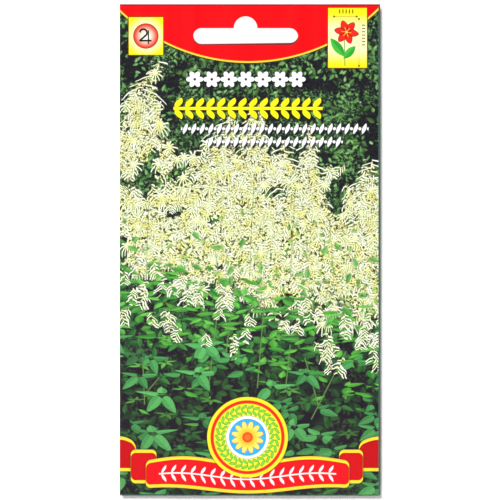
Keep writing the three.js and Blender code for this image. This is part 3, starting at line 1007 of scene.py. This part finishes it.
def bannerPart(paint, x0, x1, topEdge, bottomEdge, light=1.0):
    sides = abs(paint.across - (x0 + x1) / 2) - (x1 - x0) / 2
    rise = (topEdge - paint.down).atLeast(paint.down - bottomEdge)
    edge, inner = (roundedEdge(paint, sides, rise + inset) for inset in (0.0, banner["piping"]))
    paint.tint(banner["shadow"], edge.between(0.6, 0.0) * 0.55)
    piping = paint.mix(banner["yellow"], banner["gold"], rise.ease(-0.75, -0.05))
    paint.cover(piping, edge)
    red, dark = (tuple(value * share for value in banner["red"][:3]) + (1.0,) for share in (light, light * 0.7))
    paint.cover(paint.mix(dark, red, inner.ease(0.0, -0.6)), inner)


def roundedEdge(paint, sides, rise):
    sides, rise = sides + banner["corner"], rise + banner["corner"]
    outside = paint.reach(sides.atLeast(0.0), rise.atLeast(0.0))
    return outside + sides.atLeast(rise).atMost(0.0) - banner["corner"]


def bannerPrint(paint):
    for x0, x1, upper, lower, light in banner["tails"]:
        inner, outer = (x1, 0.0) if x0 < 0 else (x0, width)
        near = paint.across.between(inner, outer, 1.0, 0.0)
        bannerPart(paint, x0, x1, near * near * banner["fall"] + upper, lower, light)
    for fold in banner["folds"]:
        bannerPart(paint, *fold)
    upper, lower = (level - ((paint.across - start) * (2 * math.pi / length)).math("COSINE") * rise
                    for level, start, length, rise in banner["waves"])
    bannerPart(paint, *banner["ends"], upper, lower)
    bent = paint.joined(paint.across, paint.down - (upper + lower) * 0.5)  # the leaves follow the banner's wave
    paint.cover(banner["white"], garland(paint, banner["leaves"], bent))


medal = {
    "across": 39.0, "down": 132.1, "radius": 12.3, "shadow": tone(24, 22, 16),
    "yellow": tone(255, 226, 44), "gold": tone(255, 238, 96), "ring": (1.0, 2.0, tone(238, 40, 32)),
    "wreath": {"radius": 8.35, "leaves": 30, "bend": -0.5, "out": 0.8, "half": 0.85, "wide": 0.78,
               "around": 1.75},
    "disc": 5.7, "discRims": [(0.95, tone(90, 110, 120)), (0.8, tone(255, 255, 255))],
    "petals": 12, "petal": 4.9, "wide": 1.7, "heart": 1.6, "petalLine": tone(200, 84, 24),
    "greens": (tone(128, 204, 62), tone(66, 160, 48)), "blues": (tone(92, 196, 246), tone(52, 164, 232)),
    "petalTones": (tone(255, 186, 44), tone(255, 240, 110)), "reds": (tone(255, 112, 40), tone(226, 60, 30)),
}


def medalPrint(paint):  # a plain wreath of leaves round an open blossom on a blue disc
    x, y = paint.around(medal["across"], medal["down"])
    reach = paint.reach(x, y)
    edge = reach - medal["radius"]
    ringStart, ringEnd, red = medal["ring"]
    paint.tint(medal["shadow"], edge.between(0.6, 0.0) * 0.55)
    paint.cover(medal["yellow"], edge)
    paint.cover(red, edge + ringStart)
    field = paint.mix(medal["gold"], medal["yellow"], reach.ease(3.0, 10.0))
    paint.cover(field, edge + ringEnd)

    wreath = medal["wreath"]
    out = abs(reach - wreath["radius"])
    along = (out - wreath["out"]) / wreath["half"]
    fold = abs(shares(x, y, wreath["leaves"], out * wreath["bend"]))
    leaf = fold * wreath["around"] - (1 - along * along) * wreath["wide"]
    paint.cover(paint.mix(*medal["greens"], leaf.between(-0.5, 0.0)), leaf)

    for rim, shade in medal["discRims"]:
        paint.cover(shade, reach - medal["disc"] - rim)
    paint.cover(paint.mix(*medal["blues"], reach.ease(1.0, 5.6)), reach - medal["disc"])
    along = reach / medal["petal"]
    aside = abs(shares(x, y, medal["petals"])) * reach * (2 * math.pi / medal["petals"])
    petal = aside - (along * (1.02 - along)).atLeast(0.0).root() * medal["wide"]
    petal = petal.atLeast(reach - medal["petal"])
    paint.cover(medal["petalLine"], petal - 0.1)
    paint.cover(paint.mix(*medal["petalTones"], reach.ease(1.4, 4.6)), petal + 0.06)
    heart = paint.mix(*medal["reds"], reach.ease(0.4, medal["heart"]))
    paint.cover(heart, reach - medal["heart"], 0.25)


coated = {
    "pictureEnd": 78.95, "topLine": 0.6, "plainEdge": tone(62, 94, 86), "grain": 0.35, "grainDark": 0.07,
    "fibre": 0.00035, "fibreLift": 0.006, "patch": 0.004, "roughness": (0.29, 0.38),
    "gloss": {"Coat_Weight": 0.03, "Coat_Roughness": 0.2, "Specular_IOR_Level": 0.2},
}


def plainEdge(paint):  # the plain edge past the right end of the picture, and the print's grain
    side = (coated["pictureEnd"] - paint.across).ink() * (coated["topLine"] - paint.down).ink(0.3)
    paint.tint(coated["plainEdge"], side)
    speck = paint.noise(paint.place, coated["grain"], 1)
    paint.tint(tone(0, 0, 0), speck.between(0.3, 0.75, 0.0, coated["grainDark"]))


def paperFinish(paint):
    fibre, patch = paint.noise(paint.at, coated["fibre"]), paint.noise(paint.at, coated["patch"])
    gloss = patch.between(0.3, 0.7, *coated["roughness"])
    return paint.finish(paint.colour, gloss, fibre, coated["fibreLift"], **coated["gloss"])


def frontPrint():
    paint = Material("front_print")
    paint.layer(farTrees)
    paint.layer(undergrowth)
    density = paint.use(densityGroup)
    paint.layer(sprayMass, guide=density)
    paint.layer(plumes)
    for look in tufts:
        paint.layer(flowerFingers, look)
    paint.layer(sprayDetails, guide=density)
    paint.layer(stalks, "twigs", 0.22, garden["twig"], 0.8)
    for look in whorls[:2]:
        paint.layer(leafWhorls, look)
    paint.layer(fringeLeaves)
    for look in whorls[2:]:
        paint.layer(leafWhorls, look)
    for look in (tufts[1], tufts[3], tufts[4]):
        paint.layer(flowerFingers, dict(look, lean=look["lean"] * garden["hanging"]["lean"]), garden["hanging"])
    for draw in (headerPrint, perennialLabel, flowerLabel, titleOrnaments, bannerPrint, medalPrint, plainEdge):
        paint.layer(draw)
    return paperFinish(paint)


back = {
    "paper": (tone(244, 238, 220), tone(236, 230, 208)), "ink": tone(70, 92, 66), "tint": tone(214, 232, 190),
    "line": 0.3, "soft": 0.12, "bleed": 2.2, "wrapped": tone(58, 88, 74),
    "frame": (39.75, 66.0, 33.5, 36.0),
    "rules": {"across": 39.75, "down": 55.0, "halfWidth": 29.5, "halfHeight": 21.0, "pitch": 4.2, "half": 0.3,
              "shorter": 26.0},
    "months": {"across": 39.75, "down": 91.0, "count": 12, "pitch": 5.2, "halfHeight": 4.2, "tinted": 3},
    "foot": 118.0, "footLine": 0.9,
}


def backPanels(paint):  # a framed panel with plain rules and twelve blank boxes, and a plain red foot
    ink, line, soft = back["ink"], back["line"], back["soft"]
    paint.tint(paint.mix(*back["paper"], paint.noise(paint.place, 30)), 1.0)
    paint.cover(ink, abs(paint.box(*back["frame"])) - line / 2, soft)
    rules = back["rules"]
    area = paint.box(rules["across"], rules["down"], rules["halfWidth"], rules["halfHeight"])
    turns = (paint.down - rules["down"]) / rules["pitch"]
    short = paint.pick(turns, 0.2).ease(0.6, 1.0) * rules["shorter"]
    ends = paint.across - (rules["across"] + rules["halfWidth"]) + short
    rule = abs(turns.fraction() - 0.5) * rules["pitch"] - rules["half"]
    paint.cover(ink, rule.atLeast(area).atLeast(ends), soft, 0.8)

    months = back["months"]
    x, y = paint.around(months["across"], months["down"])
    turns = x / months["pitch"] + months["count"] / 2
    inside = (abs(x) - months["pitch"] * months["count"] / 2).atLeast(abs(y) - months["halfHeight"])
    tinted = (abs(turns.math("FLOOR") - months["tinted"]) - 1.3).ink(0.1)
    paint.tint(back["tint"], tinted * inside.ink(soft))
    grid = (0.5 - abs(turns.fraction() - 0.5)) * months["pitch"]
    grid = grid.atMost(abs(abs(y) - months["halfHeight"])) - line / 2
    paint.cover(ink, grid.atLeast(inside - line), soft)

    foot = back["foot"] - paint.down
    paint.cover(banner["yellow"], foot, 0.15)
    paint.cover(banner["red"], foot + back["footLine"], 0.15)
    sides = paint.across.atMost(width - paint.across) - back["bleed"]
    wrapped = sides.ink().atLeast((height - back["bleed"] - paint.down).ink())
    paint.tint(back["wrapped"], wrapped)


def backPrint():
    paint = Material("back_print", fromBack=True)
    paint.layer(backPanels)
    paint.layer(headerPrint, width - header["across"])
    return paperFinish(paint)


bare = {
    "tones": (tone(240, 238, 230), tone(250, 249, 244)), "patch": 0.0005, "lift": 0.01,
    "roughness": (0.69, 0.81), "slotShade": tone(86, 12, 18), "slotShadeHalf": (19.0, 8.0), "slotShadeSoft": 2.0,
}


def bareInside():  # uncoated paper, with painted shade round the slot: a dark red patch stands in for the shadow in the gap between the plies
    paint = Material("bare_inside")
    patch = paint.noise(paint.at, bare["patch"], 3)
    nearSlot = paint.box(-left, slot["bumpRadius"] + top, *bare["slotShadeHalf"])
    paint.tint(paint.mix(*bare["tones"], patch), 1.0)
    # painted shade: dark red round the slot, where the gap between the plies lies in shadow
    paint.cover(bare["slotShade"], nearSlot, bare["slotShadeSoft"])
    return paint.finish(paint.colour, patch.between(0.3, 0.7, *bare["roughness"]), patch, bare["lift"])


def plainFinish(name, one, other, size, roughness, lift):
    paint = Material(name)
    patch = paint.noise(paint.at, size / 1000, 3)
    gloss = patch.between(0.3, 0.7, roughness - 0.06, roughness + 0.06)
    return paint.finish(paint.mix(one, other, patch), gloss, patch, lift)


plainLooks = {  # two tones, the size of a patch, roughness and lift
    "cut": (tone(226, 224, 216), tone(248, 246, 240), 0.12, 0.85, 0.01),
    "glue": (tone(233, 226, 200), tone(214, 204, 170), 1.4, 0.45, 0.02),
    "film": (tone(240, 236, 222), tone(226, 221, 204), 5.0, 0.45, 0.05),
    "husk": (tone(96, 64, 36), tone(138, 100, 62), 0.5, 0.75, 0.05),
    "floor": (tone(194, 194, 194), tone(200, 200, 200), 60.0, 0.8, 0.0),
}
innerPieces = {
    "top_seal_glue": ("glue_top", "glue"), "side_seam_glue": ("glue_side", "glue"),
    "bottom_seam_glue": ("glue_bottom", "glue"), "sachet_front_film": ("film_front", "film"),
    "sachet_back_film": ("film_back", "film"), "seeds": ("seed_husk", "husk"),
}


def cutEdge():
    return plainFinish("cut_edge", *plainLooks["cut"])


for number, makeFinish in enumerate((frontPrint, backPrint, bareInside, cutEdge)):  # in the order of finishes
    envelope.data.materials[number] = makeFinish()
    print(finishes[number], "made")
for name, (finish, look) in innerPieces.items():
    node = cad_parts[name]
    node.data.materials.clear()
    node.data.materials.append(plainFinish(finish, *plainLooks[look]))
print("inner pieces finished")


# Camera, lights and backdrop

studio = {
    "lens": 200.0, "sensor": 36.0, "clip": 0.01, "viewHeight": 152.6, "wallBehind": 1.42, "floorBelow": 36.0,
    "wallHalf": 0.32, "floorHalf": 0.9,  # these two in metres
    "air": 0.1, "sky": 0.83, "litBox": (38.4, 10.0, 20.0, 8.0),
    "suns": {  # where each comes from, how wide it is in degrees, and its strength
        "key": ((-0.5, -1.0, 0.9), 27.0, 4.45),
        "back": ((0.6, 1.0, 0.6), 28.0, 2.7),
    },
}


def aim(made, at, target):
    made.location = at
    made.rotation_euler = (target - at).to_track_quat("-Z", "Y").to_euler()
    scene.collection.objects.link(made)


def makeStudio():
    low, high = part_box("envelope")
    centre = (low + high) / 2
    lens = bpy.data.cameras.new("camera")
    lens.lens, lens.sensor_width, lens.clip_start = studio["lens"], studio["sensor"], studio["clip"]
    camera = bpy.data.objects.new("camera", lens)
    distance = studio["viewHeight"] / studio["sensor"] * studio["lens"] / 1000
    aim(camera, centre + type(centre)((0, -distance, 0)), centre)
    scene.camera = camera

    for name, (offset, spread, strength) in studio["suns"].items():
        light = bpy.data.lights.new(name, "SUN")
        light.angle, light.energy = math.radians(spread), strength
        aim(bpy.data.objects.new(name, light), centre + type(centre)(offset), centre)

    floorZ = low.z - studio["floorBelow"] / 1000
    wallY = studio["wallBehind"] / 1000
    half, far = studio["wallHalf"], studio["floorHalf"]
    wall = plane("wall", [(x, wallY, z) for x, z in corners(half, floorZ, far)])
    floor = plane("floor", [(x, y, floorZ) for x, y in corners(far, -far, far)])
    wall.data.materials.append(wallPaint())
    floor.data.materials.append(plainFinish("floor", *plainLooks["floor"]))
    wall.visible_diffuse = wall.visible_glossy = wall.visible_shadow = False

    scene.world = airPaint()
    scene.view_settings.view_transform = "Standard"


def airPaint():  # a faint light all round, which the camera sees as a pale grey room
    world = bpy.data.worlds.new("air")
    world.use_nodes = True
    world.node_tree.nodes.clear()
    paint = Paint(world.node_tree, lambda paint: paint.node("ShaderNodeTexCoord"))
    seen = paint.node("ShaderNodeLightPath").output("Is Camera Ray")
    strength = seen * (studio["sky"] - studio["air"]) + studio["air"]
    light = paint.node("ShaderNodeBackground", None, {"Color": (1, 1, 1, 1), "Strength": strength})
    paint.node("ShaderNodeOutputWorld", None, [light])
    return world


def corners(half, low, high):
    return [(-half, low), (half, low), (half, high), (-half, high)]


def plane(name, points):
    mesh = bpy.data.meshes.new(name)
    mesh.from_pydata(points, [], [(0, 1, 2, 3)])
    made = bpy.data.objects.new(name, mesh)
    scene.collection.objects.link(made)
    return made


def wallPaint():  # white, seen from the front only, and glowing white where the slot shows it, which is painted light that hides the shadow there
    paint = Material("wall")
    white = paint.node("ShaderNodeBsdfDiffuse", None, {"Color": (1, 1, 1, 1)})
    lit = paint.node("ShaderNodeEmission", None, {"Strength": 1.0})
    # painted light: the backdrop glows behind the slot, so no shadow shows through it
    behindSlot = paint.box(*studio["litBox"]).ink(1.0)
    front = paint.node("ShaderNodeMixShader", None, [behindSlot, white, lit])
    clear = paint.node("ShaderNodeBsdfTransparent")
    away = paint.node("ShaderNodeNewGeometry").output("Backfacing")
    shown = paint.node("ShaderNodeMixShader", None, [away, front, clear])
    paint.node("ShaderNodeOutputMaterial", None, [shown])
    return paint.material


makeStudio()
print("studio ready")
